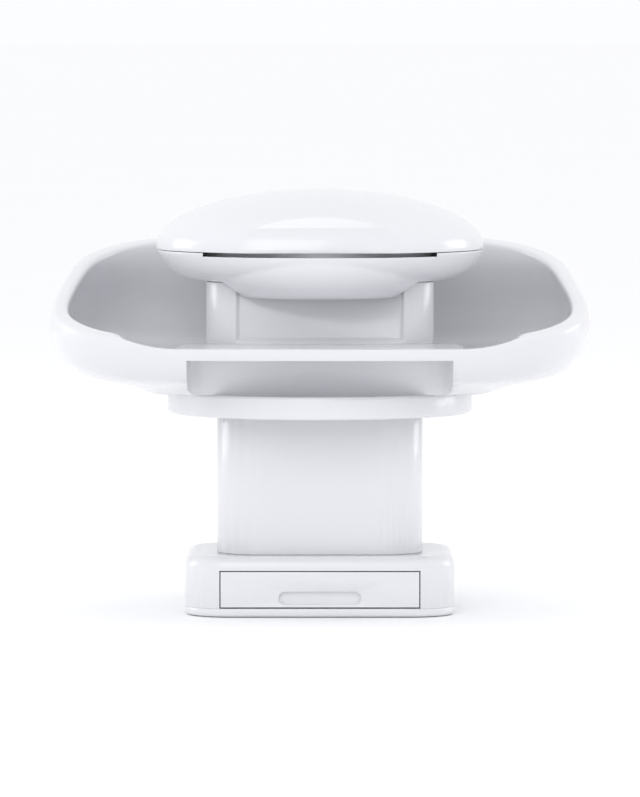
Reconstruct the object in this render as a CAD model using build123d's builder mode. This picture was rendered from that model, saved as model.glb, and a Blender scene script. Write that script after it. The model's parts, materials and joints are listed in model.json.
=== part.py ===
from build123d import *
import os
from math import atan2, copysign, cos, degrees, hypot, pi, sin

# Waterfall pump unit for a small globe bowl.
# The unit's front faces -Y, +X is to the right and +Z is up. z = 0 is the underside of the base.
# All sizes are in millimetres.

os.makedirs("parts", exist_ok=True)

# ---- driving dimensions ---------------------------------------------------------------------------
wall = 2.2                     # general moulded wall
seam = 0.2                     # gap at a parting line
play = 0.3                     # clearance round pieces that slide
hole_play = 0.2                # radial clearance of a tube in its hole
snug = 0.1                     # radial clearance of a piece that is pressed or screwed in
thread_play = 0.05             # radial clearance of a screw in its thread

base_width = 72.0
base_front = -30.0
base_rear = 24.5
base_corner = 12.0
cover_thick = 2.2
base_top = 16.0

column_width = 55.0
column_depth = 46.0
column_corner = 12.0

collar_radius = 41.0
collar_bottom = 53.0
collar_top = 59.0

dish_half_width = 72.3
dish_half_depth = 55.0
dish_power = 3.6               # exponent of the superelliptic plan outline
dish_widest = 78.0             # height at which the dish is widest
dish_belly = 20.0              # from the widest height down to the virtual lowest point
dish_bend = 4.0                # softness of the turn from the belly to the leaning upper wall
dish_end_lean = 0.46           # how far the upper wall leans in at the ends, per unit of height
dish_front_lean = 0.30         # the same at the front and back
dish_wall = 4.4
rim_front = 73.6
rim_back = 100.4
lip_half_width = 38.0          # the straight pouring lip at the front
lip_top = 72.3
lip_thick = 3.0

neck_width = 61.0
neck_depth = 40.0
neck_corner = 11.0
neck_top = 88.5

cap_radius = 44.0
cap_equator = 98.0
cap_top = 113.0
cap_under_radius = 30.0        # where the cap's underside meets the neck
mouth_half_width = 31.0
mouth_height = 1.0
chin_bottom = 84.6

pump_axis = 34.0               # height of the rotor's axis, which runs front to back
shaft_radius = 1.0
rotor_radius = 4.6
impeller_radius = 9.0
running_gap = 0.05             # radial gap between the rotor's bore and the shaft
riser_y = -9.0                 # the riser stands on the impeller chamber's outlet
riser_radius = 6.0
riser_bore = 4.7

glass_gap = 7.7                # width of the hanger's slot, for a 5 mm glass rim and two pads
glass_rim = 33.0               # height of the glass rim under the hanger
pad_thick = 1.0

cord_radius = 2.6
gland_height = 47.4

# ---- derived sizes --------------------------------------------------------------------------------
base_depth = base_rear - base_front
base_middle = (base_rear + base_front) / 2
column_top = collar_top - 3.0              # the column plugs into a pocket of the collar
dish_floor = collar_top + 3.6
rim_middle = (rim_front + rim_back) / 2
rim_tilt = degrees(atan2(rim_back - rim_front, 2 * dish_half_depth))
cap_split = cap_equator - 1.2              # the dome's lower edge


def facing_front(y):
    """Plane at the given y whose normal points to the front; its local axes are X and Z."""
    return Plane.XZ.offset(-y)


# ---- screws ---------------------------------------------------------------------------------------
recess_reach = 1.0             # length of a countersunk head's cross recess, as a share of its radius
recess_width = 0.26
recess_depth = 0.26
socket_share = 0.5             # radius of a hexagon socket, as a share of the head's radius
socket_depth = 0.6             # depth of the socket, as a share of the head's height


def countersunk_screws(plane, spots, head, shank, length):
    """Screws whose flat heads lie in the plane and whose shanks run along its normal."""
    with BuildPart() as screws:
        with BuildSketch(plane):
            with Locations(spots):
                Circle(head)
        extrude(amount=head - shank, taper=45)
        with BuildSketch(plane):
            with Locations(spots):
                Circle(shank)
        extrude(amount=length)
        with BuildSketch(plane):
            with Locations(spots):
                Rectangle(recess_reach * head, recess_width * head)
                Rectangle(recess_width * head, recess_reach * head)
        extrude(amount=recess_depth * head, mode=Mode.SUBTRACT)
    return screws


def socket_screws(plane, spots, head, head_rise, shank, shank_reach):
    """Screws seated on the plane; the rise of the head and the reach of the shank carry their signs."""
    with BuildPart() as screws:
        with BuildSketch(plane):
            with Locations(spots):
                Circle(head)
        extrude(amount=head_rise)
        with BuildSketch(plane.offset(head_rise)):
            with Locations(spots):
                RegularPolygon(socket_share * head, 6)
        extrude(amount=-socket_depth * head_rise, mode=Mode.SUBTRACT)
        with BuildSketch(plane):
            with Locations(spots):
                Circle(shank)
        extrude(amount=shank_reach)
    return screws


# ---- base: bottom grille, housing, filter drawer --------------------------------------------------
base_top_round = 3.0
base_foot_chamfer = 0.6
base_screw_xs = (-30.5, 30.5)
base_screw_ys = (-18.0, 14.0)
base_screw_spots = [(x, y) for x in base_screw_xs for y in base_screw_ys]
base_screw_radius = 1.15
base_screw_head = 2.3
base_screw_sink = 0.05         # the heads lie this far inside the cover's underside
base_screw_length = 9.0
boss_radius = 3.0
intake_slot = 3.0
intake_slot_length = 16.0
intake_pitch = 5.9
intake_row_pitch = 20.0
intake_columns = 8
intake_rows = 2


def intake_grid(height):
    """The intake slots that the cover and the drawer's floor share, as a sketch at one height."""
    with BuildSketch(Plane.XY.offset(height)) as grid:
        with Locations((0, base_middle)):
            with GridLocations(intake_pitch, intake_row_pitch, intake_columns, intake_rows):
                SlotOverall(intake_slot_length, intake_slot, rotation=90)
    return grid.sketch


with BuildPart() as base_cover:
    with BuildSketch(Plane.XY):
        with Locations((0, base_middle)):
            RectangleRounded(base_width, base_depth, base_corner)
    extrude(amount=cover_thick)
    chamfer(base_cover.faces().sort_by(Axis.Z)[0].outer_wire().edges(), base_foot_chamfer)
    extrude(intake_grid(0), amount=cover_thick, mode=Mode.SUBTRACT)
    with Locations(Plane.XY.rotated((180, 0, 0))):
        with Locations([(x, -y) for x, y in base_screw_spots]):
            CounterSinkHole(base_screw_radius + thread_play, base_screw_head + snug, depth=cover_thick)

drawer_half_width = 26.4
drawer_bottom = cover_thick + 0.4
drawer_top = 12.0
drawer_front_thick = 2.4
column_foot_width = 46.0       # opening in the housing's roof, under the column
column_foot_depth = 37.0

with BuildPart() as base_housing:
    with BuildSketch(Plane.XY.offset(cover_thick)):
        with Locations((0, base_middle)):
            RectangleRounded(base_width, base_depth, base_corner)
    extrude(amount=base_top - cover_thick)
    fillet(base_housing.faces().sort_by(Axis.Z)[-1].edges(), base_top_round)
    with BuildSketch(Plane.XY.offset(cover_thick)):
        with Locations((0, base_middle)):
            RectangleRounded(base_width - 2 * wall, base_depth - 2 * wall, base_corner - wall)
    extrude(amount=base_top - cover_thick - wall, mode=Mode.SUBTRACT)
    with BuildSketch(Plane.XY.offset(cover_thick)):
        with Locations(base_screw_spots):
            Circle(boss_radius)
    extrude(amount=base_top - cover_thick - wall)
    with BuildSketch(Plane.XY.offset(cover_thick)):
        with Locations(base_screw_spots):
            Circle(base_screw_radius + thread_play)
    extrude(amount=base_screw_length, mode=Mode.SUBTRACT)
    with BuildSketch(Plane.XY.offset(base_top - wall)):
        RectangleRounded(column_foot_width, column_foot_depth, column_corner - wall)
    extrude(amount=wall, mode=Mode.SUBTRACT)
    with BuildSketch(facing_front(base_front + 2 * wall)):
        with Locations((0, (cover_thick + drawer_top + play) / 2)):
            Rectangle(2 * (drawer_half_width + play), drawer_top + play - cover_thick)
    extrude(amount=2 * wall, mode=Mode.SUBTRACT)

base_screws = countersunk_screws(
    Plane.XY.offset(base_screw_sink),
    base_screw_spots,
    base_screw_head,
    base_screw_radius,
    base_screw_length,
)

drawer_wall = 1.6
drawer_rear = base_rear - wall - 1.0
pull_width = 22.0              # finger recess in the drawer's front
pull_height = 3.6
pull_depth = 1.2
pull_middle = drawer_bottom + 2.4

with BuildPart() as filter_drawer:
    with BuildSketch(Plane.XY.offset(drawer_bottom)):
        with Locations((0, (base_front + drawer_rear) / 2)):
            Rectangle(2 * drawer_half_width, drawer_rear - base_front)
    extrude(amount=drawer_top - drawer_bottom)
    with BuildSketch(Plane.XY.offset(drawer_bottom + drawer_wall)):
        with Locations((0, (base_front + drawer_front_thick + drawer_rear - drawer_wall) / 2)):
            Rectangle(
                2 * (drawer_half_width - drawer_wall),
                drawer_rear - drawer_wall - base_front - drawer_front_thick,
            )
    extrude(amount=drawer_top - drawer_bottom, mode=Mode.SUBTRACT)
    extrude(intake_grid(drawer_bottom), amount=drawer_wall, mode=Mode.SUBTRACT)
    with BuildSketch(facing_front(base_front + pull_depth)):
        with Locations((0, pull_middle)):
            SlotOverall(pull_width, pull_height)
    extrude(amount=pull_depth, mode=Mode.SUBTRACT)

filter_gap = 0.2
filter_corner = 1.0
filter_half_width = drawer_half_width - drawer_wall - filter_gap
filter_front = base_front + drawer_front_thick + filter_gap
filter_rear = drawer_rear - drawer_wall - filter_gap
sponge_bottom = drawer_bottom + drawer_wall
sponge_thick = 4.4
carbon_top = drawer_top - 0.4

with BuildPart() as filter_sponge:
    with BuildSketch(Plane.XY.offset(sponge_bottom)):
        with Locations((0, (filter_front + filter_rear) / 2)):
            RectangleRounded(2 * filter_half_width, filter_rear - filter_front, filter_corner)
    extrude(amount=sponge_thick)

with BuildPart() as carbon_pad:
    with BuildSketch(Plane.XY.offset(sponge_bottom + sponge_thick)):
        with Locations((0, (filter_front + filter_rear) / 2)):
            RectangleRounded(2 * filter_half_width, filter_rear - filter_front, filter_corner)
    extrude(amount=carbon_top - sponge_bottom - sponge_thick)

# ---- column and collar ----------------------------------------------------------------------------
hanger_screw_spots = [(-12.0, 24.0), (12.0, 24.0)]
hanger_screw_radius = 1.35
hanger_screw_head = 2.7
gland_thread = 4.0             # outer radius of the gland's threaded neck

with BuildPart() as column_housing:
    with BuildSketch(Plane.XY.offset(base_top)):
        RectangleRounded(column_width, column_depth, column_corner)
        RectangleRounded(
            column_width - 2 * wall,
            column_depth - 2 * wall,
            column_corner - wall,
            mode=Mode.SUBTRACT,
        )
    extrude(amount=column_top - base_top)
    with BuildSketch(facing_front(column_depth / 2)):
        with Locations((0, gland_height)):
            Circle(gland_thread + snug)
        with Locations(hanger_screw_spots):
            Circle(hanger_screw_radius + thread_play)
    extrude(amount=wall, mode=Mode.SUBTRACT)

lamp_inner = 33.0
lamp_outer = 38.8
lamp_depth = 4.6               # depth of the lamp's ring-shaped groove
lens_thick = 1.4
board_thick = 1.0
led_size = 2.8
led_height = 0.9
led_count = 12
led_radius = (lamp_inner + lamp_outer) / 2
led_corner = 0.4
led_start_angle = 15
board_edge_gap = 0.3
board_top_gap = 0.2
board_bottom = collar_bottom + lamp_depth - board_thick - board_top_gap
board_inner = lamp_inner + board_edge_gap
lens_chamfer = 0.3
collar_round = 0.8
lead_gap = 0.1                 # between a lamp lead's end and the board's edge
lead_height = board_bottom + board_thick / 2
lead_drop_y = 14.0             # where the lamp's leads turn down into the column
lead_hole_radius = 3.0
led_lead_radius = 0.5
led_lead_x = 0.8
lead_channel_end = lamp_inner + 0.5
lead_channel_width = 2 * (led_lead_x + led_lead_radius + play)
dish_screw_spots = [(x, y) for x in (-17.0, 17.0) for y in (-6.0, 12.0)]
dish_screw_radius = 1.3
dish_screw_head = 2.6
dish_seal_inner = 25.0
dish_seal_outer = 27.0
dish_seal_thick = 1.0

with BuildPart() as lamp_housing:
    with BuildSketch(Plane.XY.offset(collar_bottom)):
        Circle(collar_radius)
    extrude(amount=collar_top - collar_bottom)
    fillet(lamp_housing.edges().filter_by(GeomType.CIRCLE), collar_round)
    with BuildSketch(Plane.XY.offset(collar_bottom)):
        Circle(lamp_outer)
        Circle(lamp_inner, mode=Mode.SUBTRACT)
    extrude(amount=lamp_depth, mode=Mode.SUBTRACT)
    with BuildSketch(Plane.XY.offset(collar_bottom)):
        RectangleRounded(column_width + 2 * snug, column_depth + 2 * snug, column_corner + snug)
    extrude(amount=column_top - collar_bottom, mode=Mode.SUBTRACT)
    with BuildSketch(Plane.XY.offset(column_top)):
        with Locations((0, riser_y)):
            Circle(riser_radius + hole_play)
        with Locations(dish_screw_spots):
            Circle(dish_screw_radius + hole_play)
    extrude(amount=collar_top - column_top, mode=Mode.SUBTRACT)
    with BuildSketch(Plane.XY.offset(column_top)):
        with Locations((0, lead_drop_y)):
            Circle(lead_hole_radius)
        with Locations((0, (lead_drop_y + lead_channel_end) / 2)):
            Rectangle(lead_channel_width, lead_channel_end - lead_drop_y)
    extrude(amount=collar_bottom + lamp_depth - column_top, mode=Mode.SUBTRACT)
    with BuildSketch(Plane.XY.offset(collar_top - dish_seal_thick)):
        Circle(dish_seal_outer)
        Circle(dish_seal_inner, mode=Mode.SUBTRACT)
    extrude(amount=dish_seal_thick, mode=Mode.SUBTRACT)

with BuildPart() as dish_seal:
    with BuildSketch(Plane.XY.offset(collar_top - dish_seal_thick)):
        Circle(dish_seal_outer - thread_play)
        Circle(dish_seal_inner + thread_play, mode=Mode.SUBTRACT)
    extrude(amount=dish_seal_thick)

with BuildPart() as lamp_lens:
    with BuildSketch(Plane.XY.offset(collar_bottom)):
        Circle(lamp_outer - snug)
        Circle(lamp_inner + snug, mode=Mode.SUBTRACT)
    extrude(amount=lens_thick)
    chamfer(lamp_lens.faces().sort_by(Axis.Z)[0].edges(), lens_chamfer)

with BuildPart() as led_board:
    with BuildSketch(Plane.XY.offset(board_bottom)):
        Circle(lamp_outer - board_edge_gap)
        Circle(board_inner, mode=Mode.SUBTRACT)
    extrude(amount=board_thick)

with BuildPart() as leds:
    with BuildSketch(Plane.XY.offset(board_bottom - led_height)):
        with PolarLocations(led_radius, led_count, start_angle=led_start_angle):
            RectangleRounded(led_size, led_size, led_corner)
    extrude(amount=led_height)

# ---- dish -----------------------------------------------------------------------------------------
outline_points = 24
dish_belly_steps = (0.0, 1.4, 3.6, 8.0)          # heights of the belly's outlines above its bottom
dish_upper_steps = (0.0, 6.0, 14.0, 30.0)        # heights of the upper outlines above the widest one


def dish_outline(half_width, half_depth, height):
    """Superelliptic outline of the dish as a face at the given height."""
    points = []
    for step in range(outline_points):
        angle = 2 * pi * step / outline_points
        reach = (abs(cos(angle)) ** dish_power + abs(sin(angle)) ** dish_power) ** (-1 / dish_power)
        points.append((half_width * reach * cos(angle), half_depth * reach * sin(angle)))
    with BuildSketch(Plane.XY.offset(height)) as outline:
        with BuildLine():
            Spline(*points, periodic=True)
        make_face()
    return outline.sketch


def dish_section(inset, height):
    """One outline of the dish's form, moved in by inset: the belly curves, the upper wall leans in."""
    if height < dish_widest:
        fall = (dish_widest - height) / (dish_belly - inset)
        share = (1 - fall**3) ** (1 / 3)
        half_width = (dish_half_width - inset) * share
        half_depth = (dish_half_depth - inset) * share
    else:
        rise = hypot(height - dish_widest, dish_bend) - dish_bend
        half_width = dish_half_width - inset - dish_end_lean * rise
        half_depth = dish_half_depth - inset - dish_front_lean * rise
    return dish_outline(half_width, half_depth, height)


def dish_form(inset, bottom):
    """Solid inside the dish's outline, flat at the bottom height and open-ended above the rim."""
    belly_heights = [bottom + step for step in dish_belly_steps]
    upper_heights = [dish_widest + step for step in dish_upper_steps]
    with BuildPart() as form:
        loft([dish_section(inset, height) for height in belly_heights + upper_heights])
        split(bisect_by=Plane.XY.offset(bottom), keep=Keep.TOP)
    return form.part


rim_plane = Plane(origin=(0, 0, rim_middle), x_dir=(1, 0, 0)).rotated((rim_tilt, 0, 0))
rim_round = 1.4
lip_ease = 38.0                # radius of the curve from the lip up to the rim
lip_spread = 30.0              # width of that curve on each side
lip_rise = lip_ease - (lip_ease**2 - lip_spread**2) ** 0.5
lip_rear = -44.0               # the curve cuts the rim only in front of this
ramp_spread = 10.0             # how far the ramp's sides slope outwards at its foot
ramp_round = 6.0
niche_half_width = 35.0        # the hollow under the pouring lip
niche_rear = -29.0
niche_round = 7.0
niche_block = 4 * niche_round  # depth of the rounded part of the hollow's outline
lip_foot = (lip_half_width, lip_top)
lip_end = (lip_half_width + lip_spread, lip_top + lip_rise)

with BuildPart() as dish_hollow:           # the pan's inside, with the ramp to the lip left standing
    add(dish_form(dish_wall, dish_floor))
    with BuildSketch(facing_front(-neck_depth / 2 - seam)):
        with BuildLine():
            FilletPolyline(
                (-lip_half_width - ramp_spread, collar_top),
                (-lip_half_width, lip_top),
                (lip_half_width, lip_top),
                (lip_half_width + ramp_spread, collar_top),
                radius=ramp_round,
            )
            Line(
                (lip_half_width + ramp_spread, collar_top),
                (-lip_half_width - ramp_spread, collar_top),
            )
        make_face()
    extrude(amount=dish_half_depth, mode=Mode.SUBTRACT)

with BuildPart() as dish:
    add(dish_form(0, collar_top))
    split(bisect_by=rim_plane, keep=Keep.BOTTOM)
    add(dish_hollow.part, mode=Mode.SUBTRACT)
    fillet(dish.faces().filter_by(GeomType.PLANE).sort_by(Axis.Z)[-1].edges(), rim_round)
    with BuildSketch(facing_front(lip_rear)):
        with BuildLine():
            Line((0, lip_top), lip_foot)
            TangentArc(lip_foot, lip_end, tangent=(1, 0))
            Polyline(lip_end, (0, lip_end[1]), (0, lip_top))
        make_face()
        mirror(about=Plane.YZ)
    extrude(amount=dish_half_depth, mode=Mode.SUBTRACT)
    with BuildSketch(Plane.XY.offset(collar_top)):
        with Locations((0, niche_rear)):
            RectangleRounded(
                2 * niche_half_width, niche_block, niche_round, align=(Align.CENTER, Align.MAX)
            )
        with Locations((0, niche_rear - niche_block / 2)):
            Rectangle(2 * niche_half_width, dish_half_depth, align=(Align.CENTER, Align.MAX))
    extrude(amount=lip_top - lip_thick - collar_top, mode=Mode.SUBTRACT)
    with BuildSketch(Plane.XY.offset(collar_top)):
        with Locations((0, riser_y)):
            Circle(riser_radius + hole_play)
        with Locations(dish_screw_spots):
            Circle(dish_screw_radius)
    extrude(amount=dish_floor - collar_top, mode=Mode.SUBTRACT)

dish_screws = socket_screws(
    Plane.XY.offset(column_top),
    dish_screw_spots,
    dish_screw_head,
    -dish_screw_head,
    dish_screw_radius,
    dish_floor - column_top,
)

# ---- neck -----------------------------------------------------------------------------------------
panel_half_width = 21.5
panel_depth = 1.3
panel_slope = 45.0             # degrees the recessed panel's edges slope
panel_bottom = lip_top + 1.5
neck_wall = wall + panel_depth
post_radius = 3.0              # screw posts that hold the cap's tray
post_height = 8.0
rib_width = 2.0                # ribs that tie the posts to the neck's side walls
rib_shift = 4.4
tray_screw_spots = [(-22.0, 4.0), (22.0, 4.0)]
tray_screw_radius = 1.2
tray_screw_head = 2.5
tray_screw_head_height = 1.8
tray_screw_end = neck_top - post_height + 1.0

with BuildPart() as neck_shell:
    with BuildSketch(Plane.XY.offset(dish_floor)):
        RectangleRounded(neck_width, neck_depth, neck_corner)
    extrude(amount=neck_top - dish_floor)
    with BuildSketch(facing_front(-neck_depth / 2 + panel_depth)):
        with Locations((0, (panel_bottom + neck_top) / 2)):
            Rectangle(2 * panel_half_width, neck_top - panel_bottom)
    extrude(amount=panel_depth, taper=-panel_slope, mode=Mode.SUBTRACT)
    with BuildSketch(Plane.XY.offset(dish_floor)):
        RectangleRounded(
            neck_width - 2 * neck_wall,
            neck_depth - 2 * neck_wall,
            neck_corner - neck_wall,
        )
    extrude(amount=neck_top - dish_floor, mode=Mode.SUBTRACT)
    with BuildSketch(Plane.XY.offset(neck_top - post_height)):
        for x, y in tray_screw_spots:
            with Locations((x, y)):
                Circle(post_radius)
            with Locations((x + copysign(rib_shift, x), y)):
                Rectangle(post_radius + rib_width, rib_width)
        with Locations(tray_screw_spots):
            Circle(tray_screw_radius, mode=Mode.SUBTRACT)
    extrude(amount=post_height)

# ---- cap: tray with chin, dome --------------------------------------------------------------------
cap_under_drop = cap_equator - neck_top
tray_floor = neck_top + 2.5
pan_radius = 38.5
pan_flare = 12                 # the pan's wall leans out by this angle, in degrees
mouth_bottom = cap_split - mouth_height
chin_middle = 16.0             # the chin's ellipses are centred this far in front of the neck's axis
chin_front = 43.2
dome_edge = cap_split + seam
skirt_outer = pan_radius - 0.5
skirt_thick = 1.8
skirt_depth = 3.0              # the skirt hangs into the pan and calms the water before the mouth
dome_hollow_radius = 36.0
dome_shoulder = cap_equator + 2.0          # top of the hollow's upright wall
dome_thick = 3.0
cove_radius = 48.0             # a large cylinder cuts the shallow cove above the mouth
cove_distance = 83.6
cove_height = 116.1


def cap_crown():
    """Upper half of the cap's profile, from its widest edge to its top."""
    return EllipticalCenterArc(
        (0, cap_equator), cap_radius, cap_top - cap_equator, start_angle=0, arc_size=90
    )


def cap_form():
    """Solid lens shape of the whole cap: a low elliptic dome over a tighter elliptic underside."""
    with BuildPart() as form:
        with BuildSketch(Plane.XZ):
            with BuildLine():
                add(cap_crown())
                EllipticalCenterArc(
                    (cap_under_radius, cap_equator),
                    cap_radius - cap_under_radius,
                    cap_under_drop,
                    start_angle=270,
                    arc_size=90,
                )
                Polyline((cap_under_radius, neck_top), (0, neck_top), (0, cap_top))
            make_face()
        revolve(axis=Axis.Z)
    return form.part


chin_levels = (0.0, 0.4, 0.75, 1.0)      # shares of the way from the mouth's sill to the chin's bottom
chin_inset = 0.5               # the sill is this much narrower than the mouth on each side
chin_narrowing = 10.0          # how much the half width and the front draw in at the bottom
chin_sweep = 9.5


def chin_outline(share):
    """One level of the chin, from the mouth's sill at share 0 to its rounded bottom at share 1."""
    height = mouth_bottom - share * (mouth_bottom - chin_bottom)
    half_width = mouth_half_width - chin_inset - chin_narrowing * share**2
    front = chin_front - chin_sweep * share**2
    with BuildSketch(Plane.XY.offset(height)) as outline:
        with Locations((0, -chin_middle)):
            Ellipse(half_width, front - chin_middle)
    return outline.sketch


with BuildPart() as chin:
    loft([chin_outline(share) for share in chin_levels])
    split(bisect_by=facing_front(-neck_depth / 2 - seam), keep=Keep.TOP)

with BuildPart() as cap_tray:
    add(cap_form())
    split(bisect_by=Plane.XY.offset(cap_split), keep=Keep.BOTTOM)
    add(chin.part)
    with BuildSketch(Plane.XY.offset(tray_floor)):
        Circle(pan_radius)
    extrude(amount=cap_split - tray_floor, taper=-pan_flare, mode=Mode.SUBTRACT)
    with BuildSketch(Plane.XY.offset(mouth_bottom)):
        with Locations((0, -pan_radius / 2)):
            Rectangle(2 * mouth_half_width, 2 * cap_radius, align=(Align.CENTER, Align.MAX))
    extrude(amount=2 * mouth_height, mode=Mode.SUBTRACT)
    with BuildSketch(Plane.XY.offset(neck_top)):
        with Locations((0, riser_y)):
            Circle(riser_radius + hole_play)
        with Locations(tray_screw_spots):
            Circle(tray_screw_radius + hole_play)
    extrude(amount=tray_floor - neck_top, mode=Mode.SUBTRACT)

with BuildPart() as cap_dome:
    with BuildSketch(Plane.XZ):
        with BuildLine():
            add(cap_crown())
            Line((0, cap_top), (0, cap_top - dome_thick))
            TangentArc((0, cap_top - dome_thick), (dome_hollow_radius, dome_shoulder), tangent=(1, 0))
            Polyline(
                (dome_hollow_radius, dome_shoulder),
                (dome_hollow_radius, dome_edge),
                (cap_radius, dome_edge),
                (cap_radius, cap_equator),
            )
        make_face()
    revolve(axis=Axis.Z)
    with BuildSketch(Plane.YZ.offset(-cap_radius)):
        with Locations((-cove_distance, cove_height)):
            Circle(cove_radius)
    extrude(amount=2 * cap_radius, mode=Mode.SUBTRACT)
    with BuildSketch(Plane.XY.offset(cap_split - skirt_depth)):
        Circle(skirt_outer)
        Circle(skirt_outer - skirt_thick, mode=Mode.SUBTRACT)
    extrude(amount=skirt_depth + dome_shoulder - cap_split)

tray_screws = socket_screws(
    Plane.XY.offset(tray_floor),
    tray_screw_spots,
    tray_screw_head,
    tray_screw_head_height,
    tray_screw_radius,
    tray_screw_end - tray_floor,
)

# ---- pump -----------------------------------------------------------------------------------------
chamber_rear = -3.0            # the impeller chamber stands in front of the motor
chamber_front = -15.0
chamber_radius = 10.6
chamber_outer = 13.4
cover_front = -17.2
ear_x = 14.5
ear_radius = 2.8
ear_spots = [(-ear_x, pump_axis), (ear_x, pump_axis)]
pump_screw_radius = 0.9
pump_screw_head = 1.9
pump_screw_head_height = 1.2
pump_screw_rear = -0.4
pump_screw_hole = 2.8          # depth of the screw holes in the motor housing
motor_half_width = 16.0
motor_rear = 17.4
motor_bottom = base_top + 0.4
motor_top = pump_axis + 7.6
motor_middle = (motor_bottom + motor_top) / 2
motor_height = motor_top - motor_bottom
motor_corner = 2.5
motor_inner_corner = 1.0
motor_wall = 1.4
motor_bulkhead = 3.2           # wall between the motor and the impeller chamber
motor_cover_thick = 2.0
motor_cover_chamfer = 0.6
well_radius = 5.2              # the rotor turns in this well, which keeps the water from the coil
well_outer = 6.3
well_end = 14.6
well_cap = 17.0
bush_radius = 3.0
bush_length = 1.4
shaft_seat = 1.0               # how far the shaft stands in the rear bush
core_front = 3.0
core_rear = 13.0
core_bottom = motor_bottom + 3.4
core_yoke = 5.4
core_leg_top = pump_axis + 5.0
leg_inner = 6.6
leg_outer = 12.6
spigot_outer = 4.6
spigot_bore = 3.4
spigot_top = pump_axis + 18.0
pump_lead_x = 1.0
pump_lead_y = 9.0
pump_lead_radius = 0.7

def pump_face(y):
    """Plane across the rotor's axis at the given y; its normal points to the front."""
    return Plane(origin=(0, y, pump_axis), x_dir=(1, 0, 0), z_dir=(0, -1, 0))


with BuildPart() as motor_housing:
    with BuildSketch(facing_front(motor_rear)):
        with Locations((0, motor_middle)):
            RectangleRounded(2 * motor_half_width, motor_height, motor_corner)
    extrude(amount=motor_rear - chamber_rear)
    with BuildSketch(facing_front(motor_rear)):
        with Locations((0, motor_middle)):
            RectangleRounded(
                2 * (motor_half_width - motor_wall),
                motor_height - 2 * motor_wall,
                motor_inner_corner,
            )
    extrude(amount=motor_rear - chamber_rear - motor_bulkhead, mode=Mode.SUBTRACT)
    with BuildSketch(pump_face(well_cap)):
        Circle(well_outer)
    extrude(amount=well_cap - chamber_rear)
    with BuildSketch(pump_face(well_end)):
        Circle(well_radius)
    extrude(amount=well_end - chamber_rear, mode=Mode.SUBTRACT)
    with BuildSketch(pump_face(well_end + bush_length)):
        Circle(bush_radius)
    extrude(amount=bush_length, mode=Mode.SUBTRACT)
    with BuildSketch(facing_front(chamber_rear + pump_screw_hole)):
        with Locations(ear_spots):
            Circle(pump_screw_radius)
    extrude(amount=pump_screw_hole, mode=Mode.SUBTRACT)
    with BuildSketch(Plane.XY.offset(motor_top - motor_wall)):
        with Locations((-pump_lead_x, pump_lead_y), (pump_lead_x, pump_lead_y)):
            Circle(pump_lead_radius)
    extrude(amount=motor_wall, mode=Mode.SUBTRACT)

with BuildPart() as motor_cover:
    with BuildSketch(facing_front(motor_rear + motor_cover_thick)):
        with Locations((0, motor_middle)):
            RectangleRounded(2 * motor_half_width, motor_height, motor_corner)
    extrude(amount=motor_cover_thick)
    chamfer(motor_cover.faces().sort_by(Axis.Y)[-1].edges(), motor_cover_chamfer)

with BuildPart() as motor_core:            # two legs on a yoke, open at the top
    with BuildSketch(facing_front(core_rear)):
        with Locations((0, core_bottom)):
            Rectangle(2 * leg_outer, core_leg_top - core_bottom, align=(Align.CENTER, Align.MIN))
        with Locations((0, core_bottom + core_yoke)):
            Rectangle(
                2 * leg_inner,
                core_leg_top - core_bottom,
                align=(Align.CENTER, Align.MIN),
                mode=Mode.SUBTRACT,
            )
    extrude(amount=core_rear - core_front)

bobbin_wall = 0.8
bobbin_flange = 0.9
winding_thick = 0.9
winding_corner = 0.8
flange_reach = winding_thick + 0.2
core_middle_y = (core_front + core_rear) / 2
core_depth = core_rear - core_front
yoke_middle_z = core_bottom + core_yoke / 2
bobbin_half_length = leg_inner - snug
side_facing = Plane.YZ.offset(-bobbin_half_length)
sleeve_depth = core_depth + 2 * (bobbin_wall + snug)
sleeve_height = core_yoke + 2 * (bobbin_wall + snug)

with BuildPart() as coil_bobbin:
    with BuildSketch(side_facing):
        with Locations((core_middle_y, yoke_middle_z)):
            Rectangle(sleeve_depth, sleeve_height)
    extrude(amount=2 * bobbin_half_length)
    with BuildSketch(side_facing, side_facing.offset(2 * bobbin_half_length - bobbin_flange)):
        with Locations((core_middle_y, yoke_middle_z)):
            Rectangle(sleeve_depth + 2 * flange_reach, sleeve_height + 2 * flange_reach)
    extrude(amount=bobbin_flange)
    with BuildSketch(side_facing):
        with Locations((core_middle_y, yoke_middle_z)):
            Rectangle(core_depth + 2 * snug, core_yoke + 2 * snug)
    extrude(amount=2 * bobbin_half_length, mode=Mode.SUBTRACT)

with BuildPart() as coil_winding:
    with BuildSketch(side_facing.offset(bobbin_flange)):
        with Locations((core_middle_y, yoke_middle_z)):
            RectangleRounded(
                sleeve_depth + 2 * winding_thick,
                sleeve_height + 2 * winding_thick,
                winding_corner,
            )
            Rectangle(sleeve_depth, sleeve_height, mode=Mode.SUBTRACT)
    extrude(amount=2 * (bobbin_half_length - bobbin_flange))

front_bush_front = -14.9
front_bush_rear = -13.2
front_bush_radius = 2.2
front_boss_radius = 3.2
shaft_front = -14.6
shaft_rear = well_end + shaft_seat
shaft_chamfer = 0.2
rotor_front = 2.0
rotor_rear = 14.0
rotor_chamfer = 0.4
vane_front = -12.0
vane_rear = -5.2
vane_count = 6
vane_thick = 1.0
vane_length = impeller_radius - 2.0
impeller_disc = 1.2
impeller_hub = 3.0

with BuildPart() as pump_shaft:
    with BuildSketch(pump_face(shaft_rear)):
        Circle(shaft_radius)
    extrude(amount=shaft_rear - shaft_front)
    chamfer(pump_shaft.edges().filter_by(GeomType.CIRCLE), shaft_chamfer)

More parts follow.
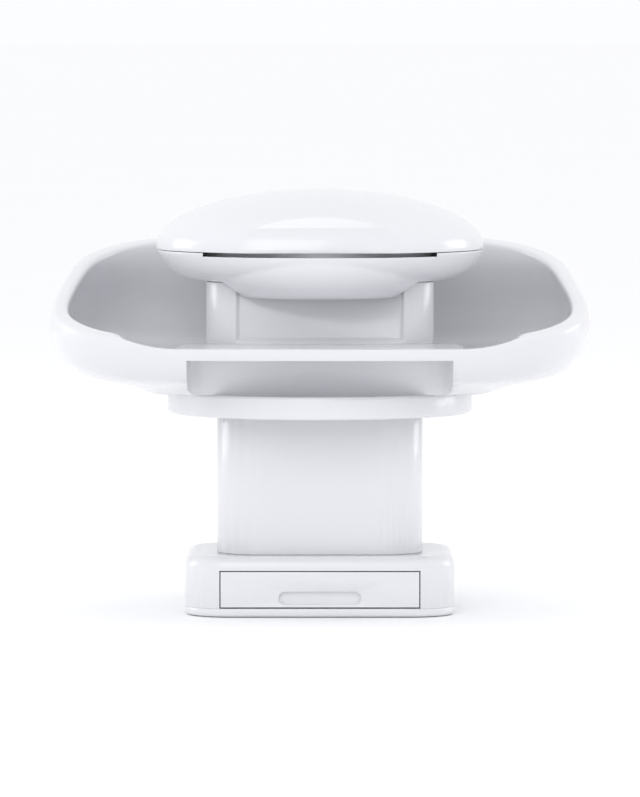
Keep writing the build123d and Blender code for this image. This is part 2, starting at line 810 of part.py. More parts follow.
with BuildPart() as rear_bush:
    with BuildSketch(pump_face(well_end + bush_length)):
        Circle(bush_radius)
    extrude(amount=bush_length)
    with BuildSketch(pump_face(shaft_rear)):
        Circle(shaft_radius)
    extrude(amount=shaft_seat, mode=Mode.SUBTRACT)

with BuildPart() as front_bush:
    with BuildSketch(pump_face(front_bush_rear)):
        Circle(front_bush_radius)
    extrude(amount=front_bush_rear - front_bush_front)
    with BuildSketch(pump_face(front_bush_rear)):
        Circle(shaft_radius)
    extrude(amount=front_bush_rear - shaft_front, mode=Mode.SUBTRACT)

with BuildPart() as rotor_magnet:
    with BuildSketch(pump_face(rotor_rear)):
        Circle(rotor_radius)
        Circle(shaft_radius + running_gap, mode=Mode.SUBTRACT)
    extrude(amount=rotor_rear - rotor_front)
    chamfer(rotor_magnet.faces().sort_by(Axis.Y)[-1].outer_wire().edges(), rotor_chamfer)

with BuildPart() as impeller:
    with BuildSketch(pump_face(vane_rear)):
        with PolarLocations(impeller_radius - vane_length / 2, vane_count):
            Rectangle(vane_length, vane_thick)
    extrude(amount=vane_rear - vane_front)
    with BuildSketch(pump_face(vane_rear + impeller_disc)):
        Circle(impeller_radius)
    extrude(amount=impeller_disc)
    with BuildSketch(pump_face(rotor_front)):
        Circle(impeller_hub)
    extrude(amount=rotor_front - vane_front)
    with BuildSketch(pump_face(rotor_front)):
        Circle(shaft_radius + running_gap)
    extrude(amount=rotor_front - vane_front, mode=Mode.SUBTRACT)

seal_major = 12.0
seal_minor = 0.6

with BuildPart() as pump_chamber:
    with BuildSketch(facing_front(chamber_rear)):
        with Locations((0, pump_axis)):
            Circle(chamber_outer)
        with Locations(ear_spots):
            Circle(ear_radius)
    extrude(amount=chamber_rear - chamber_front)
    with BuildSketch(Plane.XY.offset(pump_axis)):
        with Locations((0, riser_y)):
            Circle(spigot_outer)
    extrude(amount=spigot_top - pump_axis)
    with BuildSketch(Plane.XY.offset(pump_axis)):
        with Locations((0, riser_y)):
            Circle(spigot_bore)
    extrude(amount=spigot_top - pump_axis, mode=Mode.SUBTRACT)
    with BuildSketch(facing_front(chamber_rear)):
        with Locations((0, pump_axis)):
            Circle(chamber_radius)
        with Locations(ear_spots):
            Circle(pump_screw_radius + hole_play)
    extrude(amount=chamber_rear - chamber_front, mode=Mode.SUBTRACT)
    with BuildSketch(pump_face(chamber_front + 2 * seal_minor)):
        Circle(seal_major + seal_minor)
        Circle(seal_major - seal_minor, mode=Mode.SUBTRACT)
    extrude(amount=2 * seal_minor, mode=Mode.SUBTRACT)

with BuildPart() as chamber_seal:
    with BuildSketch(Plane.XY.offset(pump_axis)):
        with Locations((seal_major, chamber_front + seal_minor)):
            Circle(seal_minor)
    revolve(axis=Axis((0, 0, pump_axis), (0, 1, 0)))

inlet_radius = 2.4
inlet_pitch = 6.4
inlet_count = 3
dial_pin_radius = 2.0
dial_pin_length = 2.4
dial_radius = 10.4
dial_thick = 1.5
dial_tab_width = 1.2
dial_tab_length = 3.0
dial_tab_height = 0.9
dial_tab_angle = 150
dial_front = cover_front - play - dial_thick

with BuildPart() as chamber_cover:
    with BuildSketch(facing_front(chamber_front)):
        with Locations((0, pump_axis)):
            Circle(chamber_outer)
            with PolarLocations(inlet_pitch, inlet_count, start_angle=90):
                Circle(inlet_radius, mode=Mode.SUBTRACT)
        with Locations(ear_spots):
            Circle(ear_radius)
            Circle(pump_screw_radius + hole_play, mode=Mode.SUBTRACT)
    extrude(amount=chamber_front - cover_front)
    with BuildSketch(pump_face(front_bush_rear)):
        Circle(front_boss_radius)
    extrude(amount=front_bush_rear - chamber_front)
    with BuildSketch(pump_face(front_bush_rear)):
        Circle(front_bush_radius)
    extrude(amount=front_bush_rear - front_bush_front, mode=Mode.SUBTRACT)
    with BuildSketch(pump_face(cover_front)):
        Circle(dial_pin_radius)
    extrude(amount=dial_pin_length)

with BuildPart() as flow_dial:
    with BuildSketch(pump_face(cover_front - play)):
        Circle(dial_radius)
        Circle(dial_pin_radius + running_gap, mode=Mode.SUBTRACT)
        with PolarLocations(inlet_pitch, inlet_count, start_angle=90):
            Circle(inlet_radius, mode=Mode.SUBTRACT)
    extrude(amount=dial_thick)
    with BuildSketch(pump_face(dial_front)):
        with PolarLocations(dial_radius - dial_tab_length / 2, 1, start_angle=dial_tab_angle):
            Rectangle(dial_tab_length, dial_tab_width)
    extrude(amount=dial_tab_height)

pump_screws = socket_screws(
    facing_front(cover_front),
    ear_spots,
    pump_screw_head,
    pump_screw_head_height,
    pump_screw_radius,
    cover_front - pump_screw_rear,
)

riser_bottom = spigot_top - 3.4
riser_seal_thick = 1.2
riser_stand = 1.4              # the riser ends this far above the tray's floor
riser_chamfer = 0.4

with BuildPart() as riser_seal:
    with BuildSketch(Plane.XY.offset(riser_bottom - riser_seal_thick)):
        with Locations((0, riser_y)):
            Circle(riser_radius)
            Circle(spigot_outer + thread_play, mode=Mode.SUBTRACT)
    extrude(amount=riser_seal_thick)

with BuildPart() as riser_tube:
    with BuildSketch(Plane.XY.offset(riser_bottom)):
        with Locations((0, riser_y)):
            Circle(riser_radius)
            Circle(riser_bore, mode=Mode.SUBTRACT)
    extrude(amount=tray_floor + riser_stand - riser_bottom)
    chamfer(riser_tube.faces().sort_by(Axis.Z)[-1].edges(), riser_chamfer)

# ---- rim hanger -----------------------------------------------------------------------------------
hanger_half_width = 20.0
hanger_front = column_depth / 2
hanger_thick = 3.2
slot_front = hanger_front + hanger_thick
slot_rear = slot_front + glass_gap
hanger_rear = slot_rear + hanger_thick
bridge_top = glass_rim + 4.0
leg_bottom = 12.0
plate_bottom = base_top + 1.0
slot_round = 0.8
bridge_round = 3.0
foot_round = 1.2
pad_bottom = 18.0
pad_top = 30.0
pad_half_width = 16.0
pad_corner = 2.0
hanger_screw_length = hanger_thick + wall + 0.6

with BuildPart() as hanger:
    with BuildSketch(Plane.YZ.offset(-hanger_half_width)):
        with BuildLine():
            FilletPolyline(
                (slot_front, plate_bottom),
                (slot_front, glass_rim),
                (slot_rear, glass_rim),
                (slot_rear, leg_bottom),
                radius=slot_round,
            )
            Line((slot_rear, leg_bottom), (hanger_rear, leg_bottom))
            FilletPolyline(
                (hanger_rear, leg_bottom),
                (hanger_rear, bridge_top),
                (hanger_front, bridge_top),
                radius=bridge_round,
            )
            Polyline((hanger_front, bridge_top), (hanger_front, plate_bottom), (slot_front, plate_bottom))
        make_face()
    extrude(amount=2 * hanger_half_width)
    fillet(hanger.edges().filter_by(Axis.Y).group_by(Axis.Z)[0], foot_round)
    with Locations(Plane.XZ.offset(-slot_front).rotated((180, 0, 0))):
        with Locations([(x, -z) for x, z in hanger_screw_spots]):
            CounterSinkHole(hanger_screw_radius + snug, hanger_screw_head + snug, depth=hanger_thick)

with BuildPart() as hanger_pads:
    with BuildSketch(facing_front(slot_front + pad_thick), facing_front(slot_rear)):
        with Locations((0, (pad_bottom + pad_top) / 2)):
            RectangleRounded(2 * pad_half_width, pad_top - pad_bottom, pad_corner)
    extrude(amount=pad_thick)

hanger_screws = countersunk_screws(
    facing_front(slot_front),
    hanger_screw_spots,
    hanger_screw_head,
    hanger_screw_radius,
    hanger_screw_length,
)

# ---- cord gland and the leads inside --------------------------------------------------------------
column_back = column_depth / 2
gland_rear = column_back + 9.0
gland_spigot = 3.2             # how far the thread reaches in past the wall
gland_inner = column_back - wall - gland_spigot
gland_flange = 5.2             # radius of the flange against the column
gland_flange_thick = 2.4
gland_neck = 3.0               # where the sleeve's taper starts behind the column
gland_shoulder = 0.8           # step from the flange down to that taper
gland_end_wall = 1.2
nut_radius = 5.4
nut_thick = 2.4
nut_play = 0.02

with BuildPart() as cord_gland:
    with BuildSketch(Plane.YZ):
        with BuildLine():
            Polyline(
                (gland_inner, gland_height),
                (gland_inner, gland_height + gland_thread),
                (column_back, gland_height + gland_thread),
                (column_back, gland_height + gland_flange),
                (column_back + gland_flange_thick, gland_height + gland_flange),
                (column_back + gland_neck, gland_height + gland_flange - gland_shoulder),
                (gland_rear, gland_height + cord_radius + gland_end_wall),
                (gland_rear, gland_height),
                close=True,
            )
        make_face()
    revolve(axis=Axis((0, 0, gland_height), (0, 1, 0)))
    with BuildSketch(facing_front(gland_rear)):
        with Locations((0, gland_height)):
            Circle(cord_radius)
    extrude(amount=gland_rear - gland_inner, mode=Mode.SUBTRACT)

with BuildPart() as gland_nut:
    with BuildSketch(facing_front(column_back - wall)):
        with Locations((0, gland_height)):
            RegularPolygon(nut_radius, 6)
            Circle(gland_thread + nut_play, mode=Mode.SUBTRACT)
    extrude(amount=nut_thick)

pump_lead_height = gland_height - 0.6
led_lead_height = gland_height + 1.6
pump_lead_bend = 4.0
led_lead_bend = 2.2


def lead_pair(half_gap, radius, bend, route):
    """Two wires side by side along a route of (y, z) corners, with the same bend at each corner."""
    with BuildPart() as pair:
        for x in (-half_gap, half_gap):
            with BuildLine() as path:
                FilletPolyline(*[(x, y, z) for y, z in route], radius=bend)
            with BuildSketch(Plane(origin=path.line @ 0, z_dir=path.line % 0)):
                Circle(radius)
            sweep(path=path.line)
    return pair


pump_leads = lead_pair(
    pump_lead_x,
    pump_lead_radius,
    pump_lead_bend,
    [
        (pump_lead_y, motor_top - motor_wall),
        (pump_lead_y, pump_lead_height),
        (gland_inner, pump_lead_height),
    ],
)

led_leads = lead_pair(
    led_lead_x,
    led_lead_radius,
    led_lead_bend,
    [
        (board_inner - lead_gap, lead_height),
        (lead_drop_y, lead_height),
        (lead_drop_y, led_lead_height),
        (gland_inner, led_lead_height),
    ],
)

# ---- one STEP file for each piece -----------------------------------------------------------------
pieces = {
    "base_cover": base_cover,
    "base_housing": base_housing,
    "base_screws": base_screws,
    "filter_drawer": filter_drawer,
    "filter_sponge": filter_sponge,
    "carbon_pad": carbon_pad,
    "column_housing": column_housing,
    "lamp_housing": lamp_housing,
    "lamp_lens": lamp_lens,
    "led_board": led_board,
    "leds": leds,
    "led_leads": led_leads,
    "dish": dish,
    "dish_seal": dish_seal,
    "dish_screws": dish_screws,
    "neck_shell": neck_shell,
    "cap_tray": cap_tray,
    "cap_dome": cap_dome,
    "tray_screws": tray_screws,
    "motor_housing": motor_housing,
    "motor_cover": motor_cover,
    "motor_core": motor_core,
    "coil_bobbin": coil_bobbin,
    "coil_winding": coil_winding,
    "pump_shaft": pump_shaft,
    "front_bush": front_bush,
    "rear_bush": rear_bush,
    "rotor_magnet": rotor_magnet,
    "impeller": impeller,
    "pump_chamber": pump_chamber,
    "chamber_seal": chamber_seal,
    "chamber_cover": chamber_cover,
    "flow_dial": flow_dial,
    "pump_screws": pump_screws,
    "riser_seal": riser_seal,
    "riser_tube": riser_tube,
    "hanger": hanger,
    "hanger_pads": hanger_pads,
    "hanger_screws": hanger_screws,
    "cord_gland": cord_gland,
    "gland_nut": gland_nut,
    "pump_leads": pump_leads,
}
for name, piece in pieces.items():
    piece.part.label = name
    export_step(piece.part, f"parts/{name}.step")
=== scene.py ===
import json
import math

import bmesh
import bpy
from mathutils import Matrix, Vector, noise


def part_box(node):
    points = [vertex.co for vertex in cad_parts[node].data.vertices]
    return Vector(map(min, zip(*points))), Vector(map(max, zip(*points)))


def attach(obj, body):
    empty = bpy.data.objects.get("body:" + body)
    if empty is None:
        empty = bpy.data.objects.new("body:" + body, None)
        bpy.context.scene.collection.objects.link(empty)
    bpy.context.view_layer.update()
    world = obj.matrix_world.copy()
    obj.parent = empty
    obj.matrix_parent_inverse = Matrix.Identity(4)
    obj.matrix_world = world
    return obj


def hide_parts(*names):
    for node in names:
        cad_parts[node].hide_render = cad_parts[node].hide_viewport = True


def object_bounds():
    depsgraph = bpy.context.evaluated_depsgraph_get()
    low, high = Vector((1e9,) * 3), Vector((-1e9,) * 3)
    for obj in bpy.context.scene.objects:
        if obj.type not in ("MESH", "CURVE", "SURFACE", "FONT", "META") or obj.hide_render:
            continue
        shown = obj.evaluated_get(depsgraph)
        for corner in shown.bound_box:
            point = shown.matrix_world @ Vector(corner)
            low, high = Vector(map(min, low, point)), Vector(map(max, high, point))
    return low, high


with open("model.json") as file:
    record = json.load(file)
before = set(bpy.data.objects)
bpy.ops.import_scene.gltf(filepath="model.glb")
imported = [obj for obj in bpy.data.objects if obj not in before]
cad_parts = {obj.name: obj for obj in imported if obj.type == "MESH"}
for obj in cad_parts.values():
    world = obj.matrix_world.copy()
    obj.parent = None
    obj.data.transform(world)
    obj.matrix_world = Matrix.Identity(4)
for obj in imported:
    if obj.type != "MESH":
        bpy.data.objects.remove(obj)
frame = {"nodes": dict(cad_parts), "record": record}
cad_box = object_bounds()

MM = 0.001
NOISE_SPREAD = (0.3, 0.7)     # most of a noise texture's values lie between these

# ---- materials ------------------------------------------------------------------------------------


def shader(name, settings):
    """A new material with a Principled shader whose fixed sockets are set, and its node tree."""
    material = bpy.data.materials.new(name)
    material.use_nodes = True
    tree = material.node_tree
    principled = tree.nodes["Principled BSDF"]
    for socket, value in settings.items():
        principled.inputs[socket].default_value = value
    return material, tree, principled


def texture_at(tree, kind, scale, **settings):
    """A texture node fed with object coordinates; scale is in features per metre."""
    coordinates = tree.nodes.new("ShaderNodeTexCoord")
    texture = tree.nodes.new(kind)
    for key, value in settings.items():
        if key in texture.inputs:
            texture.inputs[key].default_value = value
        else:
            setattr(texture, key, value)
    texture.inputs["Scale"].default_value = scale
    tree.links.new(coordinates.outputs["Object"], texture.inputs["Vector"])
    return texture


def ramp(tree, source, low, high, start=0.0, end=1.0):
    """Maps a value from start..end to low..high."""
    node = tree.nodes.new("ShaderNodeMapRange")
    node.inputs["From Min"].default_value = start
    node.inputs["From Max"].default_value = end
    node.inputs["To Min"].default_value = low
    node.inputs["To Max"].default_value = high
    tree.links.new(source, node.inputs["Value"])
    return node.outputs["Result"]


def mix_colour(tree, factor, first, second):
    """Mixes two colours, each a fixed colour or a socket, by a factor socket."""
    node = tree.nodes.new("ShaderNodeMix")
    node.data_type = "RGBA"
    tree.links.new(factor, node.inputs["Factor"])
    for socket, value in ((node.inputs["A"], first), (node.inputs["B"], second)):
        if isinstance(value, bpy.types.NodeSocket):
            tree.links.new(value, socket)
        else:
            socket.default_value = (*value, 1.0)
    return node.outputs["Result"]


def bump(tree, principled, height, depth):
    """Adds a bump of the given depth in metres."""
    node = tree.nodes.new("ShaderNodeBump")
    node.inputs["Strength"].default_value = 1.0
    node.inputs["Distance"].default_value = depth
    tree.links.new(height, node.inputs["Height"])
    tree.links.new(node.outputs["Normal"], principled.inputs["Normal"])


def mottled(
    name, dark, light, rough_low, rough_high, patch=60.0, grain=2500.0, grain_depth=0.00002, **settings
):
    """A moulded or sintered surface: soft colour patches, uneven gloss and a fine grain."""
    material, tree, principled = shader(name, settings)
    patches = texture_at(tree, "ShaderNodeTexNoise", patch, Detail=3.0)
    grains = texture_at(tree, "ShaderNodeTexNoise", grain, Detail=2.0)
    shade = ramp(tree, patches.outputs["Fac"], 0.0, 1.0, *NOISE_SPREAD)
    tree.links.new(mix_colour(tree, shade, dark, light), principled.inputs["Base Color"])
    roughness = ramp(tree, grains.outputs["Fac"], rough_low, rough_high, *NOISE_SPREAD)
    tree.links.new(roughness, principled.inputs["Roughness"])
    bump(tree, principled, grains.outputs["Fac"], grain_depth)
    return material


def white_shell():
    """Glossy white ABS with a very fine orange peel and a faint cool cast."""
    return mottled(
        "white_abs",
        (0.742, 0.747, 0.775),
        (0.752, 0.757, 0.784),
        0.22,
        0.27,
        patch=25.0,
        grain=300.0,
        grain_depth=0.000003,
        **{"IOR": 1.5, "Coat Weight": 0.3, "Coat Roughness": 0.08},
    )


def brushed(name, dark, light, direction_scale):
    """Drawn or ground metal: noise stretched along one axis."""
    material, tree, principled = shader(name, {"Metallic": 1.0})
    coordinates = tree.nodes.new("ShaderNodeTexCoord")
    mapping = tree.nodes.new("ShaderNodeMapping")
    mapping.inputs["Scale"].default_value = direction_scale
    streaks = tree.nodes.new("ShaderNodeTexNoise")
    streaks.inputs["Scale"].default_value = 1.0
    streaks.inputs["Detail"].default_value = 3.0
    tree.links.new(coordinates.outputs["Object"], mapping.inputs["Vector"])
    tree.links.new(mapping.outputs["Vector"], streaks.inputs["Vector"])
    shade = ramp(tree, streaks.outputs["Fac"], 0.0, 1.0, 0.35, 0.65)
    tree.links.new(mix_colour(tree, shade, dark, light), principled.inputs["Base Color"])
    roughness = ramp(tree, streaks.outputs["Fac"], 0.22, 0.42, *NOISE_SPREAD)
    tree.links.new(roughness, principled.inputs["Roughness"])
    bump(tree, principled, streaks.outputs["Fac"], 0.00001)
    return material


WAVE_PHASE_PER_UNIT = 20.0    # Blender's wave texture turns by this much per unit at scale 1


def banded(name, dark, light, direction, pitch, rough_low, rough_high, depth, **settings):
    """Fine parallel bands along one axis, as laminations have; pitch is in metres."""
    material, tree, principled = shader(name, settings)
    scale = math.pi / (WAVE_PHASE_PER_UNIT * pitch)
    bands = texture_at(tree, "ShaderNodeTexWave", scale, Distortion=0.0, bands_direction=direction)
    specks = texture_at(tree, "ShaderNodeTexNoise", 900.0, Detail=3.0)
    shade = mix_colour(tree, bands.outputs["Fac"], dark, light)
    worn = mix_colour(tree, ramp(tree, specks.outputs["Fac"], 0.0, 0.35, 0.4, 0.8), shade, dark)
    tree.links.new(worn, principled.inputs["Base Color"])
    tree.links.new(ramp(tree, specks.outputs["Fac"], rough_low, rough_high), principled.inputs["Roughness"])
    bump(tree, principled, bands.outputs["Fac"], depth)
    return material


def cellular(name, dark, light, cell, rough, depth):
    """Open-cell foam or felt: painted shade darkens the pores between lighter walls; cell is the pore size
    in metres.
    """
    settings = {"Roughness": rough, "Sheen Weight": 0.2, "Sheen Roughness": 0.6}
    material, tree, principled = shader(name, settings)
    pores = texture_at(tree, "ShaderNodeTexVoronoi", 1.0 / cell, feature="DISTANCE_TO_EDGE")
    fibres = texture_at(tree, "ShaderNodeTexNoise", 3.0 / cell, Detail=4.0)
    # painted shade: each pore's middle is coloured towards dark and the walls between stay light; the same
    # mask sets the bump
    wall_height_and_pore_shade = ramp(tree, pores.outputs["Distance"], 1.0, 0.0, 0.02, 0.22)
    shade = mix_colour(tree, wall_height_and_pore_shade, dark, light)
    shaded = mix_colour(tree, ramp(tree, fibres.outputs["Fac"], 0.0, 0.5, 0.35, 0.75), shade, dark)
    tree.links.new(shaded, principled.inputs["Base Color"])
    bump(tree, principled, wall_height_and_pore_shade, depth)
    return material


def clear_lens():
    """Clear polycarbonate with a faint frosting that spreads the lamp's light."""
    return mottled(
        "clear_polycarbonate",
        (0.90, 0.95, 0.99),
        (0.96, 0.98, 1.0),
        0.06,
        0.16,
        patch=80.0,
        grain=1500.0,
        grain_depth=0.00001,
        **{"Transmission Weight": 0.85, "IOR": 1.58},
    )


MATERIALS = {
    "white_shell": white_shell(),
    "motor_plastic": mottled("motor_abs", (0.035, 0.04, 0.045), (0.06, 0.065, 0.07), 0.42, 0.6, IOR=1.5),
    "black_seal": mottled("black_rubber", (0.012, 0.012, 0.013), (0.03, 0.03, 0.032), 0.6, 0.82, IOR=1.5),
    "screw_steel": brushed("stainless", (0.42, 0.42, 0.43), (0.62, 0.62, 0.63), (900.0, 900.0, 60.0)),
    "core_steel": banded(
        "laminations", (0.10, 0.10, 0.11), (0.36, 0.36, 0.37), "Y", 0.0005, 0.3, 0.5, 0.00003, Metallic=1.0
    ),
    "copper_wire": mottled(
        "enamelled_copper", (0.55, 0.22, 0.07), (0.78, 0.38, 0.15), 0.2, 0.35, patch=400.0, Metallic=1.0
    ),
    # the darker colour of each cellular material is the painted shade inside its pores
    "filter_foam": cellular("blue_foam", (0.02, 0.05, 0.12), (0.10, 0.24, 0.50), 0.0012, 0.9, 0.0004),
    "carbon_felt": cellular(
        "carbon_felt", (0.006, 0.006, 0.007), (0.06, 0.06, 0.062), 0.0008, 0.95, 0.0003
    ),
    "white_ceramic": mottled("alumina", (0.78, 0.76, 0.71), (0.86, 0.85, 0.82), 0.12, 0.22, IOR=1.7),
    "ferrite_magnet": mottled("ferrite", (0.035, 0.035, 0.04), (0.07, 0.07, 0.075), 0.35, 0.55, IOR=1.6),
    "clear_lens": clear_lens(),
    "lamp_board": mottled("solder_mask", (0.66, 0.68, 0.64), (0.76, 0.77, 0.73), 0.3, 0.42, IOR=1.5),
    "lamp_led": mottled("phosphor", (0.80, 0.62, 0.16), (0.92, 0.80, 0.34), 0.2, 0.35, patch=500.0),
    "wire_jacket": mottled("wire_pvc", (0.55, 0.55, 0.56), (0.68, 0.68, 0.69), 0.35, 0.5, IOR=1.5),
    "soft_pad": mottled("grey_silicone", (0.46, 0.47, 0.49), (0.56, 0.57, 0.59), 0.5, 0.7, IOR=1.45),
    "gland_plastic": mottled("satin_nylon", (0.66, 0.66, 0.67), (0.74, 0.74, 0.75), 0.38, 0.5, IOR=1.5),
    "impeller_plastic": mottled("blue_acetal", (0.03, 0.10, 0.30), (0.06, 0.17, 0.42), 0.25, 0.38, IOR=1.5),
    "riser_plastic": mottled("riser_pp", (0.62, 0.66, 0.70), (0.72, 0.75, 0.78), 0.25, 0.38, IOR=1.5),
}


WELD_DISTANCE = 0.001 * MM
EDGE_ROUND = 0.25 * MM
EDGE_ANGLE = math.radians(40)


def dress_cad_nodes():
    """Gives each CAD node its slot's material and a fine rounding along its moulded edges."""
    for part in frame["record"]["subparts"]:
        node = frame["nodes"][part["node"]]
        node.data.materials.clear()
        node.data.materials.append(MATERIALS[part["material_slot"]])
        weld = node.modifiers.new("weld", "WELD")
        weld.merge_threshold = WELD_DISTANCE
        edges = node.modifiers.new("edges", "BEVEL")
        edges.width = EDGE_ROUND
        edges.segments = 2
        edges.limit_method = "ANGLE"
        edges.angle_limit = EDGE_ANGLE
        edges.harden_normals = True
        node.data.shade_smooth()


dress_cad_nodes()

# ---- detailed pieces ------------------------------------------------------------------------------


def lattice_box(low, high, steps):
    """A closed box whose faces are grids of about the given steps."""
    counts = [max(1, round((top - bottom) / step)) for bottom, top, step in zip(low, high, steps)]
    mesh = bmesh.new()
    points = {}

    def point(index):
        if index not in points:
            place = [
                bottom + (top - bottom) * step / count
                for bottom, top, step, count in zip(low, high, index, counts)
            ]
            points[index] = mesh.verts.new(place)
        return points[index]

    for axis in range(3):
        across, along = (axis + 1) % 3, (axis + 2) % 3
        for end in (0, counts[axis]):
            for first in range(counts[across]):
                for second in range(counts[along]):
                    corners = []
                    for right, up in ((0, 0), (1, 0), (1, 1), (0, 1)):
                        index = [0, 0, 0]
                        index[axis] = end
                        index[across] = first + right
                        index[along] = second + up
                        corners.append(point(tuple(index)))
                    if end == 0:
                        corners.reverse()
                    mesh.faces.new(corners)
    return mesh


def round_box(mesh, low, high, radius):
    """Rounds a box's edges and returns each vertex's outward direction."""
    outward = {}
    for vertex in mesh.verts:
        core = Vector(
            min(max(place, bottom + radius), top - radius)
            for place, bottom, top in zip(vertex.co, low, high)
        )
        direction = (vertex.co - core).normalized()
        vertex.co = core + radius * direction
        outward[vertex] = direction
    return outward


def piece_from(mesh, name, node, body):
    """Makes an object of the mesh that stands for a CAD node and rides on that node's body."""
    data = bpy.data.meshes.new(name)
    mesh.to_mesh(data)
    mesh.free()
    piece = bpy.data.objects.new(name, data)
    bpy.context.scene.collection.objects.link(piece)
    data.shade_smooth()
    slot = next(p["material_slot"] for p in frame["record"]["subparts"] if p["node"] == node)
    data.materials.append(MATERIALS[slot])
    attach(piece, body)
    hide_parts(node)
    return piece


FOAM_STEP = 0.65 * MM
FOAM_PORE = 1.9 * MM
FOAM_PIT = 0.45 * MM          # depth of a pore
FOAM_PORE_SHARP = 1.6         # how fast a pore closes away from its middle
FOAM_ROUND = 0.7 * MM


def make_filter_foam():
    """Open-cell foam slab: pores pit its faces and its cut edges are slightly rounded."""
    low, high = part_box("filter_sponge")
    mesh = lattice_box(low, high, (FOAM_STEP, FOAM_STEP, FOAM_STEP))
    outward = round_box(mesh, low, high, FOAM_ROUND)
    for vertex, direction in outward.items():
        nearest = noise.voronoi(vertex.co / FOAM_PORE)[0][0]
        pit = FOAM_PIT * max(0.0, 1.0 - FOAM_PORE_SHARP * nearest)
        vertex.co -= pit * direction
    piece_from(mesh, "filter_foam", "filter_sponge", "drawer")


PAD_STEP = 0.8 * MM
PAD_BORDER = 3.2 * MM         # width of the pad's pressed border
PAD_BORDER_SHARE = 0.35       # thickness of that border, as a share of the whole
PAD_FLAT = 0.35               # share of a border's width that stays flat before the pad swells
GRANULE = 1.7 * MM
GRANULE_HEIGHT = 0.3 * MM


def make_carbon_pad():
    """Felt bag of carbon granules: a thin pressed border round a lumpy, filled middle."""
    low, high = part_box("carbon_pad")
    mesh = lattice_box(low, high, (PAD_STEP, PAD_STEP, PAD_STEP))
    thick = high[2] - low[2]
    for vertex in mesh.verts:
        x, y, z = vertex.co
        edge = min(x - low[0], high[0] - x, y - low[1], high[1] - y)
        rise = min(1.0, edge / PAD_BORDER - PAD_FLAT)
        swell = 0.0 if rise < 0.0 else rise * rise * (3.0 - 2.0 * rise)
        share = PAD_BORDER_SHARE + (1.0 - PAD_BORDER_SHARE) * swell
        lump = GRANULE_HEIGHT * swell * noise.voronoi(Vector((x, y, 0.0)) / GRANULE)[0][0]
        vertex.co.z = low[2] + (z - low[2]) * share - lump * (z - low[2]) / thick
    piece_from(mesh, "carbon_felt_pad", "carbon_pad", "drawer")


GRIP_STEPS = (1.0 * MM, 0.25 * MM, 0.25 * MM)
GRIP_FACING = 0.7             # a vertex facing the glass at least this much takes part in the ribs
RIB_PITCH = 1.5 * MM
RIB_HEIGHT = 0.3 * MM
GRIP_THICK = 1.0 * MM         # each pad's thickness, as the hanger's CAD pads have
GRIP_ROUND = 0.35 * MM


def make_hanger_pads():
    """Two silicone pads with gripping ribs on the faces that hold the glass."""
    low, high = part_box("hanger_pads")
    pads = bmesh.new()
    for front, rib_side in ((low[1], 1), (high[1] - GRIP_THICK, -1)):
        pad_low = (low[0], front, low[2])
        pad_high = (high[0], front + GRIP_THICK, high[2])
        mesh = lattice_box(pad_low, pad_high, GRIP_STEPS)
        outward = round_box(mesh, pad_low, pad_high, GRIP_ROUND)
        for vertex, direction in outward.items():
            if direction.y * rib_side > GRIP_FACING:
                wave = 0.5 + 0.5 * math.cos(2 * math.pi * (vertex.co.z - low[2]) / RIB_PITCH)
                vertex.co.y -= rib_side * RIB_HEIGHT * wave
        part = bpy.data.meshes.new("pad")
        mesh.to_mesh(part)
        mesh.free()
        pads.from_mesh(part)
        bpy.data.meshes.remove(part)
    piece_from(pads, "ribbed_hanger_pads", "hanger_pads", "unit")


WIRE_RADIUS = 0.21 * MM
WIRE_PITCH = 0.45 * MM
WIRE_SIDES = 8
WIRE_LAYERS = 2
COIL_CORNER = 0.8 * MM
CORNER_STEPS = 4


def coil_loop(half_depth, half_height, corner):
    """Points of one rounded rectangular turn, as (y, z) offsets from the coil's middle."""
    points = []
    for quarter, (side, up) in enumerate(((1, 1), (-1, 1), (-1, -1), (1, -1))):
        for step in range(CORNER_STEPS + 1):
            angle = math.pi / 2 * (quarter + step / CORNER_STEPS)
            points.append(
                (
                    side * (half_depth - corner) + corner * math.cos(angle),
                    up * (half_height - corner) + corner * math.sin(angle),
                )
            )
    return points


def add_tube(mesh, path, radius):
    """Adds a round wire along the path to the mesh, closed at both ends."""
    rings = []
    for index, place in enumerate(path):
        ahead = path[min(index + 1, len(path) - 1)] - path[max(index - 1, 0)]
        side = ahead.cross(Vector((1.0, 0.0, 0.0))).normalized()
        other = ahead.cross(side).normalized()
        ring = []
        for step in range(WIRE_SIDES):
            angle = 2 * math.pi * step / WIRE_SIDES
            spoke = math.cos(angle) * side + math.sin(angle) * other
            ring.append(mesh.verts.new(place + radius * spoke))
        rings.append(ring)
    for ring, following in zip(rings, rings[1:]):
        for step in range(WIRE_SIDES):
            after = (step + 1) % WIRE_SIDES
            mesh.faces.new((ring[step], ring[after], following[after], following[step]))
    mesh.faces.new(list(reversed(rings[0])))
    mesh.faces.new(rings[-1])


def make_coil():
    """The winding's real turns: enamelled wire in layers round the bobbin."""
    low, high = (Vector(corner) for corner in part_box("coil_winding"))
    middle = (low + high) / 2
    turns = int((high.x - low.x - 2 * WIRE_RADIUS) / WIRE_PITCH)
    mesh = bmesh.new()
    for layer in range(WIRE_LAYERS):
        inset = WIRE_RADIUS + layer * WIRE_PITCH
        loop = coil_loop(
            middle.y - low.y - inset, middle.z - low.z - inset, COIL_CORNER - 0.5 * layer * WIRE_PITCH
        )
        path = []
        for step in range(turns * len(loop)):
            y, z = loop[step % len(loop)]
            x = low.x + WIRE_RADIUS + WIRE_PITCH * step / len(loop)
            path.append(Vector((x, middle.y + y, middle.z + z)))
        add_tube(mesh, path, WIRE_RADIUS)
    bmesh.ops.recalc_face_normals(mesh, faces=mesh.faces)
    piece_from(mesh, "wound_coil", "coil_winding", "unit")


make_filter_foam()
make_carbon_pad()
make_hanger_pads()
make_coil()

# ---- stage: floor, lights, camera -----------------------------------------------------------------

FLOOR_RADIUS = 40.0
FLOOR_SIDES = 96
FLOOR_DROP = 0.0002           # keeps the floor just under the object's feet


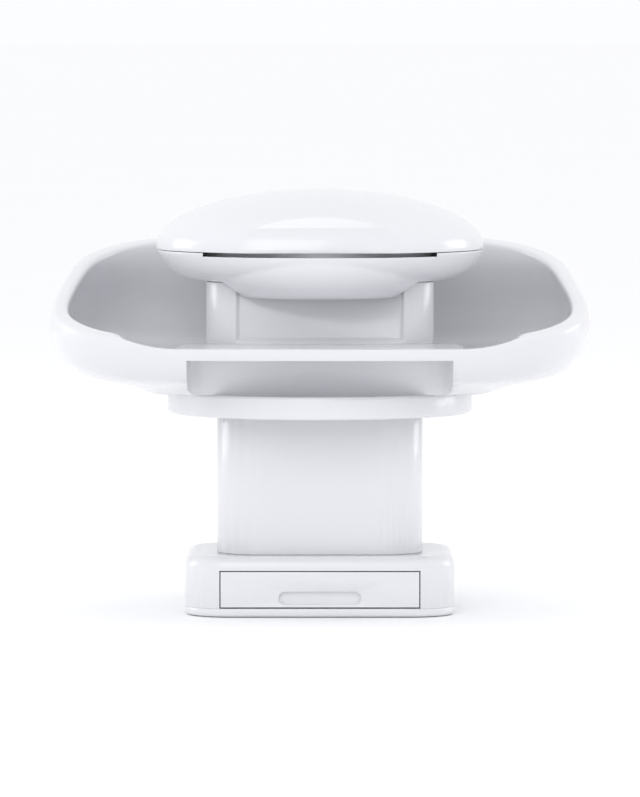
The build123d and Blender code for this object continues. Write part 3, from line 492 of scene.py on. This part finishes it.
def make_floor():
    """A pale round floor, the same from every side, that meets an equally pale sky."""
    mesh = bmesh.new()
    bmesh.ops.create_circle(mesh, cap_ends=True, segments=FLOOR_SIDES, radius=FLOOR_RADIUS)
    data = bpy.data.meshes.new("floor")
    mesh.to_mesh(data)
    mesh.free()
    floor = bpy.data.objects.new("floor", data)
    floor.location.z = -FLOOR_DROP
    bpy.context.scene.collection.objects.link(floor)
    data.materials.append(
        mottled("paper", (0.98, 0.98, 0.985), (0.985, 0.985, 0.99), 0.8, 0.9, patch=3.0, grain=400.0)
    )


def area_light(name, place, aim, size, power, colour=(1.0, 1.0, 1.0)):
    """A square soft light that points at aim."""
    data = bpy.data.lights.new(name, "AREA")
    data.size = size
    data.energy = power
    data.color = colour
    light = bpy.data.objects.new(name, data)
    light.location = place
    light.rotation_euler = (Vector(aim) - Vector(place)).to_track_quat("-Z", "Y").to_euler()
    bpy.context.scene.collection.objects.link(light)


LIGHT_AIM = Vector((0.0, 0.0, 0.05))
WARM = (1.0, 0.99, 0.97)
SKY = (0.98, 0.985, 1.0, 1.0)


def make_lights(aim):
    """High-key studio light: an even bright surround, a soft box overhead, a weak key and side lights."""
    area_light("overhead", (0.0, 0.1, 1.2), aim, 0.9, 0.5)
    area_light("key", (-0.35, -1.3, 0.9), aim, 0.8, 4.0, WARM)
    for side in (-1, 1):
        area_light("side", (0.9 * side, 0.35, 0.25), aim, 0.4, 1.2)
    world = bpy.data.worlds.new("studio")
    world.use_nodes = True
    background = world.node_tree.nodes["Background"]
    background.inputs["Color"].default_value = SKY
    background.inputs["Strength"].default_value = 1.0
    bpy.context.scene.world = world


CAMERA_DISTANCE = 1.824       # the photograph's distance and eye height, as estimated from it
CAMERA_HEIGHT = 0.159
SENSOR_WIDTH = 36.0
FRAME_ASPECT = 797 / 640
FILL = 0.84                   # share of the picture's width that the object takes


def make_camera(low, high):
    """The photograph's viewpoint, framed closer so that the object fills the picture."""
    data = bpy.data.cameras.new("camera")
    camera = bpy.data.objects.new("camera", data)
    bpy.context.scene.collection.objects.link(camera)
    middle = Vector(((low[0] + high[0]) / 2, 0.0, (low[2] + high[2]) / 2))
    camera.location = (middle.x, -CAMERA_DISTANCE, CAMERA_HEIGHT)
    camera.rotation_euler = (middle - camera.location).to_track_quat("-Z", "Y").to_euler()
    data.sensor_width = SENSOR_WIDTH
    data.lens = SENSOR_WIDTH * CAMERA_DISTANCE / ((high[0] - low[0]) / FILL * FRAME_ASPECT)
    bpy.context.scene.camera = camera


make_floor()
make_lights(LIGHT_AIM)
make_camera(*cad_box)
bpy.context.scene.view_settings.view_transform = "Standard"
